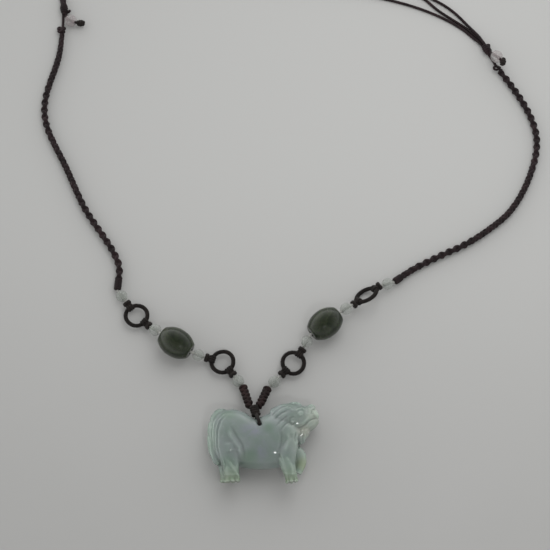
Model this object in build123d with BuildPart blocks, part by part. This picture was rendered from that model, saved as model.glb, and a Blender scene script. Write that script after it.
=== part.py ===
"""Jade qilin pendant on a knotted and braided cord necklace, lying on a table.

Millimetres. X to the animal's head, Y away from its feet, Z up. The origin is on the
table under the middle of the pendant, which lies on its ground-flat flank.
"""

from build123d import *
import math
import os

os.makedirs("parts", exist_ok=True)

# Carved pendant
qilin_length = 37.0
qilin_height = 26.7
qilin_thickness = 12.0
qilin_centre_x = 0.3
qilin_feet_y = -11.6
flank_grind = 0.5
cross_hole_diameter = 1.5
cross_hole_along = -0.02
cross_hole_up = 0.68
binding_along = -0.065
binding_up = 0.886

# Cords and threads
loop_cord_diameter = 1.0
closure_cord_diameter = 1.0
braid_diameter = 2.7
thread_diameter = 0.9
ring_cord_diameter = 1.6
fit_clearance = 0.08
cord_lift = 0.02

# Hanging loop: how its two strands round the back of the animal
loop_strand_offset = 0.62
loop_seat = 0.3
loop_neck_back = 0.35
loop_neck_spread = 2.9
loop_shoulder_back = 2.0
loop_shoulder_fall = 0.45
loop_hole_lean = 0.1
loop_sink = 0.9

# Knots
binding_diameter = 3.2
binding_length = 3.8
binding_turns = 4
arm_diameter = 2.7
arm_ribs = 6
whipping_diameter = 2.6
whipping_ribs = 5
rib_depth = 0.25
end_knot_diameter = 3.2
end_knot_length = 3.0
slide_knot_diameter = 3.3
slide_knot_length = 5.6
slide_knot_taper = 0.75
stub_diameter = 1.1
stub_length = 1.2
stub_turns = {"left": -60.0, "right": -40.0}
stub_places = {"left": -2.3, "right": 0.0}
stopper_left_diameter = 2.5
stopper_left_length = 3.2
stopper_right_diameter = 3.2
stopper_right_length = 1.8

# Beads
pale_bead_diameter = 4.2
tail_bead_diameter = 4.7
tail_bead_bore = 1.4
barrel_diameter = 10.2
barrel_length = 12.0
barrel_end_diameter = 6.3
barrel_bore = 1.3

# Cord rings and their hitches
ring_outer_diameter = 9.2
hitch_wrap_diameter = 2.7
hitch_wrap_width = 2.4
hitch_collar_diameter = 3.0
hitch_collar_length = 1.6
hitch_collar_start = 0.9

# Places on the table: the pieces of the two bead strings. The arms start at the binding,
# and each ring lies that far from the nearer end of the barrel bead.
arm_offsets = {"left": Vector(-1.7, 1.4, -0.4), "right": Vector(1.4, 1.7, -0.4)}
arm_ends = {"left": Vector(-6.4, 21.4, 2.3), "right": Vector(2.2, 20.8, 2.3)}
ring_radius = (ring_outer_diameter - ring_cord_diameter) / 2
bead_rest_height = pale_bead_diameter / 2 + cord_lift
tilted_ring_angle = 48.0
tilted_ring_rise = ring_radius * math.sin(math.radians(tilted_ring_angle))
tilted_ring_height = tilted_ring_rise + ring_cord_diameter / 2 + cord_lift
ring_offsets = {
    "left": (Vector(10.7, -2.7), Vector(-9.1, 7.5)),
    "right": (Vector(-6.1, -9.5), Vector(9.8, 7.1)),
}
ring_heights = {
    "left": (bead_rest_height, bead_rest_height),
    "right": (bead_rest_height, tilted_ring_height),
}
ring_tilts = {"left": (0.0, 0.0), "right": (0.0, tilted_ring_angle)}
barrel_centres = {
    "left": Vector(-29.7, 36.3, barrel_diameter / 2),
    "right": Vector(22.2, 43.3, barrel_diameter / 2),
}
barrel_angles = {"left": 148.0, "right": 38.0}
barrel_gap = 0.4
thread_bend_radius = 1.1

# Routes of the braids, from the bead strings to the closure
BRAID_ROUTES = {
    "left": [
        (-51.3, 61.2), (-50.9, 65.2), (-53.3, 71.0), (-56.9, 76.6), (-60.9, 82.2),
        (-64.8, 88.0), (-68.0, 94.4), (-70.9, 100.8), (-73.9, 107.2), (-77.4, 113.6),
        (-80.7, 120.3), (-82.8, 127.4), (-82.8, 134.8), (-81.3, 142.0), (-79.4, 149.0),
        (-78.3, 156.0), (-78.2, 162.7),
    ],
    "right": [
        (50.0, 62.0), (54.1, 64.9), (59.8, 67.8), (66.0, 70.9), (72.3, 73.7),
        (78.4, 77.3), (84.2, 81.5), (89.7, 86.0), (94.0, 91.6), (97.5, 97.8),
        (100.2, 104.2), (102.3, 110.7), (103.2, 117.6), (102.1, 124.5), (99.7, 131.0),
        (96.6, 137.2), (93.4, 142.6), (91.1, 146.0),
    ],
}
whipping_starts = {
    "left": Vector(-51.5, 56.7, bead_rest_height),
    "right": Vector(47.3, 59.8, bead_rest_height),
}

# Closure knots, beads and the three thin cords between them
slide_knot_centres = {
    "left": Vector(-78.1, 173.7, slide_knot_diameter / 2),
    "right": Vector(86.95, 155.1, slide_knot_diameter / 2),
}
slide_knot_directions = {"left": Vector(-0.148, 0.989), "right": Vector(-0.48, 0.877)}

CLOSURE_ROUTES = {
    "inner": [
        (90.0, 147.8, 1.6), (88.1, 152.2, 1.33), (84.75, 158.3, 1.33), (82.0, 161.2, 0.6),
        (78.3, 165.2, 0.52), (71.0, 170.3, 0.52), (62.0, 174.7, 0.52), (52.3, 178.1, 0.52),
        (41.0, 180.9, 0.52), (26.0, 183.1, 0.52), (8.5, 185.3, 0.52), (-9.5, 187.6, 0.52),
        (-28.0, 189.6, 0.52), (-46.0, 191.0, 0.52), (-61.5, 190.6, 0.52), (-71.6, 188.6, 0.52),
        (-77.0, 184.6, 0.52), (-78.4, 180.6, 0.55), (-78.25, 177.3, 1.33),
        (-77.65, 174.2, 1.4), (-77.1, 171.6, 1.5), (-77.3, 169.3, 2.1),
        (-72.7, 166.7, 2.64), (-70.85, 167.3, 1.75),
    ],
    "middle": [
        (87.4, 155.8, 1.33), (85.7, 158.8, 1.25), (83.0, 161.9, 0.6), (79.3, 166.0, 0.52),
        (71.7, 171.5, 0.52), (67.6, 175.0, 0.52), (64.2, 178.9, 0.52), (58.8, 182.2, 0.52),
        (50.5, 184.7, 0.52), (40.5, 186.6, 0.52), (25.5, 188.7, 0.52), (8.0, 190.4, 0.52),
        (-10.0, 191.9, 0.52), (-28.5, 193.2, 0.52), (-46.5, 193.7, 0.52), (-63.0, 192.5, 0.52),
        (-73.4, 190.3, 0.52), (-78.8, 186.8, 0.52), (-79.6, 183.0, 0.55), (-79.3, 180.0, 1.6),
        (-78.8, 177.2, 2.25), (-78.35, 174.2, 2.28),
    ],
    "outer": [
        (-78.1, 164.6, 1.6), (-78.1, 170.4, 1.33), (-79.3, 177.3, 1.33), (-80.8, 181.4, 0.55),
        (-80.7, 187.2, 0.52), (-75.0, 192.4, 0.52), (-64.5, 195.0, 0.52), (-47.5, 196.4, 0.52),
        (-29.0, 196.2, 0.52), (-10.5, 195.2, 0.52), (8.0, 193.8, 0.52), (25.5, 191.9, 0.52),
        (40.5, 189.4, 0.52), (51.5, 186.6, 0.52), (60.2, 182.9, 0.52), (67.0, 179.2, 0.52),
        (72.5, 175.5, 0.52), (76.7, 171.4, 0.52), (80.3, 166.7, 0.52), (83.7, 161.9, 1.65),
        (85.3, 158.6, 2.25), (87.75, 154.0, 2.3), (88.3, 152.6, 3.4), (91.1, 149.1, 5.05),
        (92.25, 148.1, 4.3),
    ],
}

# Forms of the carved animal. Each row is one section: its place as shares of the length
# and height, its sideways offset, half height and half thickness. Half heights are
# shares of the height, sideways measures are shares of the thickness.
# Columns: along, up, side, half_height, half_depth
TORSO = [
    (-0.47, 0.56, 0, 0.13, 0.22),
    (-0.42, 0.565, 0, 0.26, 0.39),
    (-0.32, 0.57, 0, 0.335, 0.50),
    (-0.14, 0.48, 0, 0.32, 0.51),
    (0.00, 0.47, 0, 0.325, 0.515),
    (0.14, 0.515, 0, 0.345, 0.51),
    (0.25, 0.50, 0, 0.29, 0.45),
    (0.325, 0.465, 0, 0.16, 0.27),
]
HEAD = [
    (0.065, 0.82, 0, 0.09, 0.25),
    (0.155, 0.79, 0, 0.175, 0.41),
    (0.25, 0.78, 0, 0.195, 0.43),
    (0.345, 0.77, 0, 0.185, 0.40),
    (0.435, 0.795, 0, 0.155, 0.33),
    (0.495, 0.83, 0, 0.10, 0.235),
]
BEARD = [
    (0.37, 0.70, 0, 0.10, 0.30),
    (0.365, 0.61, 0, 0.095, 0.27),
    (0.345, 0.535, 0, 0.085, 0.22),
    (0.325, 0.475, 0, 0.05, 0.12),
]
HORN = [
    (0.36, 0.93, 0.13, 0.022, 0.06),
    (0.32, 0.95, 0.13, 0.035, 0.085),
    (0.25, 0.945, 0.14, 0.03, 0.075),
    (0.17, 0.91, 0.15, 0.018, 0.045),
]
NOSTRIL = [
    (0.415, 0.915, 0.10, 0.025, 0.06),
    (0.45, 0.925, 0.10, 0.035, 0.09),
    (0.485, 0.90, 0.09, 0.028, 0.07),
]
FRONT_LEG_NEAR = [
    (0.22, 0.50, 0.20, 0.15, 0.25),
    (0.225, 0.34, 0.22, 0.13, 0.27),
    (0.235, 0.165, 0.23, 0.095, 0.225),
    (0.26, 0.045, 0.235, 0.078, 0.19),
    (0.27, -0.04, 0.235, 0.083, 0.205),
]
FRONT_LEG_FAR = [
    (0.25, 0.44, -0.21, 0.13, 0.24),
    (0.315, 0.355, -0.23, 0.10, 0.22),
    (0.352, 0.265, -0.24, 0.08, 0.195),
    (0.345, 0.185, -0.25, 0.06, 0.17),
    (0.325, 0.11, -0.25, 0.05, 0.16),
]
HIND_LEG_NEAR = [
    (-0.335, 0.66, 0.17, 0.15, 0.24),
    (-0.315, 0.50, 0.20, 0.185, 0.30),
    (-0.29, 0.30, 0.21, 0.155, 0.275),
    (-0.275, 0.16, 0.23, 0.105, 0.225),
    (-0.265, 0.05, 0.235, 0.09, 0.205),
    (-0.262, -0.035, 0.235, 0.10, 0.21),
]
HIND_LEG_FAR = [
    (-0.335, 0.66, -0.17, 0.15, 0.24),
    (-0.325, 0.50, -0.20, 0.185, 0.30),
    (-0.31, 0.30, -0.21, 0.155, 0.27),
    (-0.31, 0.16, -0.23, 0.11, 0.22),
    (-0.305, 0.07, -0.235, 0.10, 0.20),
    (-0.30, 0.005, -0.235, 0.115, 0.205),
]
TAIL = [
    (-0.32, 0.86, 0, 0.045, 0.17),
    (-0.42, 0.79, 0, 0.07, 0.24),
    (-0.445, 0.62, 0, 0.075, 0.265),
    (-0.44, 0.45, 0, 0.075, 0.265),
    (-0.42, 0.30, 0, 0.065, 0.235),
    (-0.385, 0.20, 0, 0.03, 0.13),
]
OVAL_POINTS = 12
OVAL_FULLNESS = 2.3
ARC_SHARE = 0.45

middle_plane = qilin_thickness / 2 - flank_grind / 2
collar_end = hitch_collar_start + hitch_collar_length


def save(builder, name):
    """Label a finished piece and write its file."""
    builder.part.label = name
    export_step(builder.part, f"parts/{name}.step")


def oval_points(half_width, half_depth):
    """Points of a plump oval, a little squarer than an ellipse."""
    points = []
    for step in range(OVAL_POINTS):
        angle = 2 * math.pi * (step + 0.5) / OVAL_POINTS
        across, deep = math.cos(angle), math.sin(angle)
        x = half_width * math.copysign(abs(across) ** (2 / OVAL_FULLNESS), across)
        y = half_depth * math.copysign(abs(deep) ** (2 / OVAL_FULLNESS), deep)
        points.append((x, y))
    return points


def figure_point(along, up, side=0.0):
    """A point of the carved animal from its shares."""
    x = qilin_centre_x + along * qilin_length
    y = qilin_feet_y + up * qilin_height
    return Vector(x, y, middle_plane + side * qilin_thickness)


def form_sections(rows, mirrored=False):
    """The oval sections of one form of the animal, ready to loft."""
    sections = []
    sides = -1 if mirrored else 1
    centres = [figure_point(row[0], row[1], sides * row[2]) for row in rows]
    for index, (centre, row) in enumerate(zip(centres, rows)):
        ahead = centres[min(index + 1, len(rows) - 1)]
        behind = centres[max(index - 1, 0)]
        direction = Vector(ahead.X - behind.X, ahead.Y - behind.Y, 0).normalized()
        across = Vector(-direction.Y, direction.X, 0)
        with BuildSketch(Plane(origin=centre, x_dir=across, z_dir=direction)) as section:
            with BuildLine():
                Spline(
                    *oval_points(row[3] * qilin_height, row[4] * qilin_thickness),
                    periodic=True,
                )
            make_face()
        sections.append(section.sketch)
    return sections


def corner_radii(points):
    """The largest tangent arc that the two runs beside each corner allow."""
    radii = []
    for before, corner, after in zip(points, points[1:], points[2:]):
        turn = math.radians((corner - before).get_angle(after - corner))
        shorter = min((corner - before).length, (after - corner).length)
        radii.append(ARC_SHARE * shorter / math.tan(turn / 2))
    return radii


def cord_tube(points, diameter, radii=None, cutters=()):
    """A round tube along straight runs that are joined by tangent arcs."""
    with BuildPart() as cord:
        with BuildLine() as route:
            if len(points) == 2:
                Line(*points)
            else:
                FilletPolyline(*points, radius=radii or corner_radii(points))
        path = route.wire()
        with BuildSketch(Plane(origin=path @ 0, z_dir=path % 0)):
            Circle(diameter / 2)
        sweep(path=path)
        for cutter in cutters:
            add(cutter, mode=Mode.SUBTRACT)
    return cord, path.length


def side_plane(start, direction):
    """A sketch plane that starts on an axis, with its Y along that axis."""
    along = direction.normalized()
    across = along.cross(Vector(0, 0, 1)).normalized()
    return Plane(origin=start, x_dir=across, z_dir=across.cross(along))


def end_plane(start, direction):
    """A plane across an axis, with its Z along that axis and its X level."""
    along = direction.normalized()
    return Plane(origin=start, x_dir=along.cross(Vector(0, 0, 1)).normalized(), z_dir=along)


def ribbed_rod(start, end, diameter, ribs, cutters=()):
    """A rod of wound or knotted cord: a row of round ribs turned about its axis."""
    length = (end - start).length
    rib = length / ribs
    valley = diameter / 2 - rib_depth
    with BuildPart() as rod:
        with BuildSketch(side_plane(start, end - start)):
            with BuildLine():
                Line((0, 0), (valley, 0))
                for index in range(ribs):
                    low, high = index * rib, (index + 1) * rib
                    ThreePointArc(
                        (valley, low), (diameter / 2, (low + high) / 2), (valley, high)
                    )
                Line((valley, length), (0, length))
                Line((0, length), (0, 0))
            make_face()
        revolve(axis=Axis(start, end - start))
        for cutter in cutters:
            add(cutter, mode=Mode.SUBTRACT)
    return rod


def bulged_rod(centre, direction, length, diameter, end_diameter, cutters=(), stub=None):
    """A knot or bead that is widest at its middle, with flat ends and perhaps a stub."""
    along = direction.normalized()
    start = centre - along * (length / 2)
    with BuildPart() as rod:
        with BuildSketch(side_plane(start, along)):
            with BuildLine():
                Line((0, 0), (end_diameter / 2, 0))
                ThreePointArc(
                    (end_diameter / 2, 0), (diameter / 2, length / 2), (end_diameter / 2, length)
                )
                Line((end_diameter / 2, length), (0, length))
                Line((0, length), (0, 0))
            make_face()
        revolve(axis=Axis(start, along))
        if stub:
            with BuildSketch(stub):
                Circle(stub_diameter / 2)
            extrude(amount=diameter / 2 + stub_length)
        for cutter in cutters:
            add(cutter, mode=Mode.SUBTRACT)
    return rod


def round_bead(centre, direction, diameter, bore):
    """A round bead with a straight hole."""
    with BuildPart(end_plane(centre, direction)) as bead:
        Sphere(diameter / 2)
        Cylinder(bore / 2, 2 * diameter, mode=Mode.SUBTRACT)
    return bead


# Hanging loop: up through the cross hole, over the back and to the binding
cross_hole = figure_point(cross_hole_along, cross_hole_up)
binding_centre = figure_point(binding_along, binding_up)
hole_to_binding = Vector(binding_centre.X - cross_hole.X, binding_centre.Y - cross_hole.Y)
back_direction = hole_to_binding.normalized()
binding_start = binding_centre - back_direction * (binding_length / 2)
loop_reach = (binding_start - cross_hole).dot(back_direction)
loop_ends = loop_reach + loop_seat
loop_neck = loop_reach - loop_neck_back
loop_shoulder = loop_reach - loop_shoulder_back
loop_floor = loop_cord_diameter / 2 + cord_lift
loop_top = qilin_thickness - loop_sink
loop_profile = [
    (loop_ends, binding_centre.Z + loop_strand_offset),
    (loop_neck, binding_centre.Z + loop_neck_spread),
    (loop_shoulder, loop_top - loop_shoulder_fall),
    (loop_hole_lean, loop_top),
    (0.0, middle_plane),
    (loop_hole_lean, loop_floor),
    (loop_shoulder, loop_floor + loop_shoulder_fall),
    (loop_neck, binding_centre.Z - loop_neck_spread),
    (loop_ends, binding_centre.Z - loop_strand_offset),
]
loop_points = [
    Vector(cross_hole.X, cross_hole.Y, 0) + back_direction * reach + Vector(0, 0, height)
    for reach, height in loop_profile
]
loop_binding = ribbed_rod(
    binding_start, binding_start + back_direction * binding_length, binding_diameter, binding_turns
)
save(loop_binding, "loop_binding")
hanging_loop, loop_length = cord_tube(
    loop_points, loop_cord_diameter, cutters=[loop_binding.part]
)
save(hanging_loop, "hanging_loop")
loop_room, _ = cord_tube(loop_points, loop_cord_diameter + 2 * fit_clearance)

# Carved animal: every form lofted through its sections, then ground flat on one flank
with BuildPart() as qilin:
    for form in (
        TORSO, HEAD, BEARD, TAIL,
        FRONT_LEG_NEAR, FRONT_LEG_FAR,
        HIND_LEG_NEAR, HIND_LEG_FAR,
    ):
        loft(form_sections(form))
    for form in (HORN, NOSTRIL):
        loft(form_sections(form))
        loft(form_sections(form, mirrored=True))
    split(bisect_by=Plane.XY, keep=Keep.TOP)
    with Locations(cross_hole):
        Cylinder(cross_hole_diameter / 2, 2 * qilin_thickness, mode=Mode.SUBTRACT)
    add(loop_room.part, mode=Mode.SUBTRACT)
save(qilin, "qilin")
print("qilin volume", round(qilin.part.volume), "size", qilin.part.bounding_box().size)

# The two knotted arms of the V
arms = {}
for side in ("left", "right"):
    arm = ribbed_rod(
        binding_centre + arm_offsets[side], arm_ends[side], arm_diameter, arm_ribs,
        cutters=[loop_binding.part],
    )
    save(arm, f"arm_{side}")
    arms[side] = arm


def hitch_on_ring(ring_frame, toward, room):
    """A hitch: a wrap round the ring's cord and a collar outside it."""
    flat = toward - ring_frame.z_dir * toward.dot(ring_frame.z_dir)
    outward = flat.normalized()
    seat = ring_frame.origin + outward * ring_radius
    tangent = ring_frame.z_dir.cross(outward)
    wrap_start = seat - tangent * (hitch_wrap_width / 2)
    with BuildPart() as hitch:
        with BuildSketch(Plane(origin=wrap_start, x_dir=outward, z_dir=tangent)):
            Circle(hitch_wrap_diameter / 2)
        extrude(amount=hitch_wrap_width)
        with BuildSketch(
            Plane(origin=seat + outward * hitch_collar_start, x_dir=tangent, z_dir=outward)
        ):
            Circle(hitch_collar_diameter / 2)
        extrude(amount=hitch_collar_length)
        add(room, mode=Mode.SUBTRACT)
    return hitch, seat + outward * collar_end


# Braids with their bound lower ends
braid_height = braid_diameter / 2 + cord_lift
braid_ends = {}
whippings = {}
for side in ("left", "right"):
    route = [Vector(x, y, braid_height) for x, y in BRAID_ROUTES[side]]
    route[-1] = Vector(route[-1].X, route[-1].Y, end_knot_diameter / 2 + cord_lift)
    braid, length = cord_tube(route, braid_diameter)
    save(braid, f"braid_{side}")
    radii = corner_radii(route)
    print("braid", side, "length", round(length, 1), "radii", round(min(radii), 1), "up")
    section = math.pi * braid_diameter**2 / 4
    print("  volume", round(braid.part.volume, 2), "section x length", round(section * length, 2))
    whipping = ribbed_rod(
        whipping_starts[side], route[0], whipping_diameter, whipping_ribs, cutters=[braid.part]
    )
    save(whipping, f"whipping_{side}")
    whippings[side] = whipping
    braid_ends[side] = (route[-1], (route[-1] - route[-2]).normalized())

# Bead strings, from each arm of the V to the braid
hitch_number = 0
pale_number = 0
thread_number = 0
ring_number = 0
for side in ("left", "right"):
    turn = math.radians(barrel_angles[side])
    barrel_axis = Vector(math.cos(turn), math.sin(turn), 0)
    barrel_reach = barrel_length / 2 + barrel_gap
    barrel_near = barrel_centres[side] - barrel_axis * barrel_reach
    barrel_far = barrel_centres[side] + barrel_axis * barrel_reach
    towards = [(arm_ends[side], barrel_near), (barrel_far, whipping_starts[side])]
    knots = []
    hitches = []
    for barrel_end, offset, height, tilt, (inner, outer) in zip(
        (barrel_near, barrel_far), ring_offsets[side], ring_heights[side], ring_tilts[side], towards
    ):
        ring_number += 1
        centre = Vector(barrel_end.X + offset.X, barrel_end.Y + offset.Y, height)
        chord = Vector(outer.X - inner.X, outer.Y - inner.Y, 0).normalized()
        normal = Vector(0, 0, 1).rotate(Axis((0, 0, 0), chord), -tilt)
        ring_frame = Plane(origin=centre, x_dir=chord, z_dir=normal)
        with BuildPart(ring_frame) as cord_ring:
            Torus(ring_radius, ring_cord_diameter / 2)
        save(cord_ring, f"cord_ring_{ring_number}")
        with BuildPart(ring_frame) as ring_room:
            Torus(ring_radius, ring_cord_diameter / 2 + fit_clearance)
        for target in (inner, outer):
            hitch_number += 1
            hitch, collar_face = hitch_on_ring(ring_frame, target - centre, ring_room.part)
            save(hitch, f"hitch_{hitch_number}")
            knots.append(collar_face)
            hitches.append(hitch.part)
    stretches = [
        [arm_ends[side], knots[0]],
        [knots[1], barrel_near, barrel_far, knots[2]],
        [knots[3], whipping_starts[side]],
    ]
    holders = [
        [arms[side].part, hitches[0]],
        [hitches[1], hitches[2]],
        [hitches[3], whippings[side].part],
    ]
    for stretch, cutters in zip(stretches, holders):
        thread_number += 1
        thread, _ = cord_tube(stretch, thread_diameter, thread_bend_radius, cutters)
        save(thread, f"bead_thread_{thread_number}")
    with BuildPart() as bore:
        with BuildSketch(end_plane(barrel_near, barrel_axis)):
            Circle(barrel_bore / 2)
        extrude(amount=2 * barrel_reach)
    barrel = bulged_rod(
        barrel_centres[side], barrel_axis, barrel_length, barrel_diameter,
        barrel_end_diameter, cutters=[bore.part],
    )
    save(barrel, f"barrel_bead_{side}")
    for start, end in (
        (arm_ends[side], knots[0]),
        (knots[1], barrel_near),
        (barrel_far, knots[2]),
        (knots[3], whipping_starts[side]),
    ):
        pale_number += 1
        pale_bead = round_bead(
            (start + end) / 2, end - start, pale_bead_diameter,
            thread_diameter + 2 * fit_clearance,
        )
        save(pale_bead, f"pale_bead_{pale_number}")

# Closure cords, and the rooms that they need in the knots
closure_rooms = []
closure_points = {}
for name, route in CLOSURE_ROUTES.items():
    points = [Vector(*point) for point in route]
    closure_points[name] = points
    closure, length = cord_tube(points, closure_cord_diameter)
    save(closure, f"closure_cord_{name}")
    room, _ = cord_tube(points, closure_cord_diameter + 2 * fit_clearance)
    closure_rooms.append(room.part)
    radii = corner_radii(points)
    print("closure", name, "length", round(length, 1), "radii", round(min(radii), 1), "up")
    section = math.pi * closure_cord_diameter**2 / 4
    print("  volume", round(closure.part.volume, 2), "section x length", round(section * length, 2))

for side in ("left", "right"):
    braid_end, along = braid_ends[side]
    end_knot = bulged_rod(
        braid_end + along * (end_knot_length / 2), along, end_knot_length, end_knot_diameter,
        end_knot_diameter * slide_knot_taper, cutters=closure_rooms,
    )
    save(end_knot, f"end_knot_{side}")
    direction = slide_knot_directions[side].normalized()
    stub_start = slide_knot_centres[side] + direction * stub_places[side]
    stub = end_plane(stub_start, direction.rotate(Axis.Z, stub_turns[side]))
    slide_knot = bulged_rod(
        slide_knot_centres[side], direction, slide_knot_length, slide_knot_diameter,
        slide_knot_diameter * slide_knot_taper, cutters=closure_rooms, stub=stub,
    )
    save(slide_knot, f"slide_knot_{side}")

tails = {
    "left": (closure_points["inner"], stopper_left_length, stopper_left_diameter),
    "right": (closure_points["outer"], stopper_right_length, stopper_right_diameter),
}
for side, (points, length, diameter) in tails.items():
    bead_start, bead_end, tip = points[-3:]
    tail_bead = round_bead(
        (bead_start + bead_end) / 2, bead_end - bead_start, tail_bead_diameter, tail_bead_bore
    )
    save(tail_bead, f"tail_bead_{side}")
    stopper = bulged_rod(
        tip, tip - bead_end, length, diameter, diameter * slide_knot_taper,
        cutters=closure_rooms,
    )
    save(stopper, f"stopper_{side}")
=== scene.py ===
# %% [markdown]
# # A jade qilin pendant on a knotted cord necklace
# The necklace lies on a pale table. A carved jade animal hangs from a V of knotted
# cord. Two strings of jade beads and cord rings run up from the V to two braids, and
# three thin cords with sliding knots close the loop far behind.
#
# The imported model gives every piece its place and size. This lesson dresses it: each
# cell makes one kind of piece, or one finish, and puts it exactly where its solid is.

import math
import random

import bmesh
import bpy
import numpy as np
from mathutils import Matrix, Vector
from mathutils.bvhtree import BVHTree


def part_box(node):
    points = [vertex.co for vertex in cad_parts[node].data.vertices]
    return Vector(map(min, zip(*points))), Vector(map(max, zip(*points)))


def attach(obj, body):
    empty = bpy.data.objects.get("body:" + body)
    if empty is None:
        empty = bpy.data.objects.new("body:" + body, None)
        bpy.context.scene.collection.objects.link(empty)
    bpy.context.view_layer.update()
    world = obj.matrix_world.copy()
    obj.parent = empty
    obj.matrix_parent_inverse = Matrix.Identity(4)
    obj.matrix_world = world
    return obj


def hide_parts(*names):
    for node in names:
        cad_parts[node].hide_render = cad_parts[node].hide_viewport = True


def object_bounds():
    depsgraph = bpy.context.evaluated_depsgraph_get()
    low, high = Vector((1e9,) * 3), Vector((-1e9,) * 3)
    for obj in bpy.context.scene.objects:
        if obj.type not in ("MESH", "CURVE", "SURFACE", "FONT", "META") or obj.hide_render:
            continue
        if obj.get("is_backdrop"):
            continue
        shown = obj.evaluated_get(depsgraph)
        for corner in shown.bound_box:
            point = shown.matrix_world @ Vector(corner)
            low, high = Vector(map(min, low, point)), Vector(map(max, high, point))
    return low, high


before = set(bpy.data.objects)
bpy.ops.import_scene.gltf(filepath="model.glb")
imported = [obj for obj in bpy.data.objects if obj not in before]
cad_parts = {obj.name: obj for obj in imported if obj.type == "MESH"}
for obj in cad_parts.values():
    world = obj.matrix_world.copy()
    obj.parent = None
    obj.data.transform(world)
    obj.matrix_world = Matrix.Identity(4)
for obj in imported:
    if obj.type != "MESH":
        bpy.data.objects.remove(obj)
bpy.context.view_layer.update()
MM = 0.001
UP = Vector((0, 0, 1))
random.seed(7)
print("solids in the frame:", len(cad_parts))

# %% [markdown]
# ## Camera
# The photograph looks steeply down at the table. The camera is given as a distance
# and an angle from the point that it looks at, and its place is worked out from them.

# %% Camera
camera_distance = 400 * MM
camera_angle = math.radians(70)
looked_at = Vector((4.7, 63.24, 0)) * MM
focal_length = 72.7


def add_object(name, data):
    """A new object in the scene."""
    made = bpy.data.objects.new(name, data)
    bpy.context.scene.collection.objects.link(made)
    return made


camera_data = bpy.data.cameras.new("camera")
camera_data.sensor_width = 36
camera_data.lens = focal_length
camera_data.clip_start = 0.01
camera = add_object("camera", camera_data)
toward_camera = Vector((0, -math.cos(camera_angle), math.sin(camera_angle)))
camera.location = looked_at + toward_camera * camera_distance
camera.rotation_euler = (math.pi / 2 - camera_angle, 0, 0)
bpy.context.scene.camera = camera
print("camera stands", round(camera.location.z / MM), "mm above the table")

# %% [markdown]
# ## Shader maths
# A material's numbers are easiest to read as ordinary expressions. The first class
# below wraps one socket of a node, and each operator on it adds the Math node that
# does the same. Every other node comes from one method, which sets the node up first
# and then fills or links its sockets.


# %% Shader maths
class Value:
    """A number in a shader: an expression on it adds the Math nodes it needs."""

    def __init__(self, shader, socket):
        self.shader = shader
        self.socket = socket

    def math(self, operation, *numbers):
        """The result of one Math node."""
        sockets = dict(enumerate(numbers))
        return self.shader.node("ShaderNodeMath", {"operation": operation}, sockets)

    def __add__(self, other):
        return self.math("ADD", self, other)

    def __sub__(self, other):
        return self.math("SUBTRACT", self, other)

    def __rsub__(self, other):
        return self.math("SUBTRACT", other, self)

    def __mul__(self, other):
        return self.math("MULTIPLY", self, other)

    __radd__ = __add__
    __rmul__ = __mul__

    def sine(self):
        """The sine of this angle."""
        return self.math("SINE", self)

    def largest(self, other):
        """The larger of two numbers."""
        return self.math("MAXIMUM", self, other)

    def step(self, low, high):
        """A soft step from 0 at low to 1 at high."""
        settings = {"interpolation_type": "SMOOTHSTEP"}
        sockets = {"Value": self, "From Min": low, "From Max": high}
        return self.shader.node("ShaderNodeMapRange", settings, sockets)


class Nodes:
    """A node tree, built node by node."""

    def __init__(self, tree):
        self.tree = tree

    def node(self, kind, settings=None, sockets=None, output=0):
        """Any node: its settings first, then its sockets. Gives one output back."""
        made = self.tree.nodes.new(kind)
        for name, setting in (settings or {}).items():
            if name == "stops":
                self.set_stops(made.color_ramp, setting)
            else:
                setattr(made, name, setting)
        for name, content in (sockets or {}).items():
            self.fill(made.inputs[name], content)
        return Value(self, made.outputs[output])

    def set_stops(self, ramp, stops):
        """The places and colours of a ramp."""
        while len(ramp.elements) < len(stops):
            ramp.elements.new(1.0)
        for element, (place, colour) in zip(ramp.elements, stops):
            element.position = place
            element.color = (*colour, 1)

    def fill(self, socket, content):
        """Put a value in a socket, or link one to it."""
        if isinstance(content, Value):
            self.tree.links.new(content.socket, socket)
        elif isinstance(content, tuple) and len(content) == 3 and len(socket.default_value) == 4:
            socket.default_value = (*content, 1)
        else:
            socket.default_value = content

    def split(self, vector):
        """The three numbers of a point."""
        parts = self.node("ShaderNodeSeparateXYZ", None, {"Vector": vector})
        outputs = parts.socket.node.outputs
        return [Value(self, outputs[axis]) for axis in ("X", "Y", "Z")]


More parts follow.
